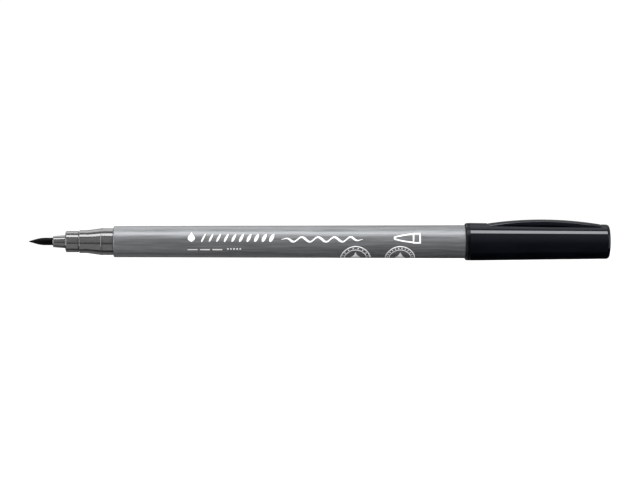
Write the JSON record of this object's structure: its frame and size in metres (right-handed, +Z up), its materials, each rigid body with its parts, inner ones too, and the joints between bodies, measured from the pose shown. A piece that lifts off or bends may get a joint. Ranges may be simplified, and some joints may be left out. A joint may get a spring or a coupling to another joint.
{
  "type": "brush pen",
  "caption": "Slim round brush pen with a soft pointed nib, a stepped grey nose, a long barrel and a clip cap pushed onto its rear end.",
  "frame": {"origin": "centre of the pen's box on the level it lies on, under the cap's lip", "axes": "+X along the pen from the nib to the closed end of the cap, +Z up through the clip, +Y completes the frame"},
  "size_m": [0.1552, 0.01, 0.011],
  "materials": {
    "barrel_grey": "satin metallic grey moulded plastic with fine lengthwise streaks and white print",
    "front_grey": "smooth glossy mid grey",
    "nib_black": "fine black fibre, damp with ink",
    "reservoir_fibre": "white bonded fibre",
    "film_clear": "thin clear film",
    "gloss_black": "polished blue-black",
    "liner_white": "natural white"
  },
  "bodies": {
    "pen": {"barrel": "barrel_grey", "front_section": "front_grey", "nosepiece": "front_grey", "nib_stem": "nib_black", "ink_reservoir": "reservoir_fibre", "reservoir_film": "film_clear", "end_plug": "gloss_black"},
    "nib": {"brush_tip": "nib_black"},
    "cap": {"cap_shell": "gloss_black", "cap_inner_liner": "liner_white"},
    "clip": {"pocket_clip": "gloss_black"}
  },
  "joints": [
    {"name": "cap_slide", "type": "slide", "parent": "pen", "child": "cap", "axis": [1, 0, 0], "range_m": [0, 0.02]},
    {"name": "clip_flex", "type": "hinge", "parent": "cap", "child": "clip", "pos_m": [0.0753, 0, 0.00933], "axis": [0, 1, 0], "range_deg": [0, 4], "stiffness_Nm_per_rad": 1},
    {"name": "brush_tip_flex", "type": "hinge", "parent": "pen", "child": "nib", "pos_m": [-0.07115, 0, 0.00505], "axis": [0, 1, 0], "range_deg": [-20, 20], "stiffness_Nm_per_rad": 0.005}
  ]
}
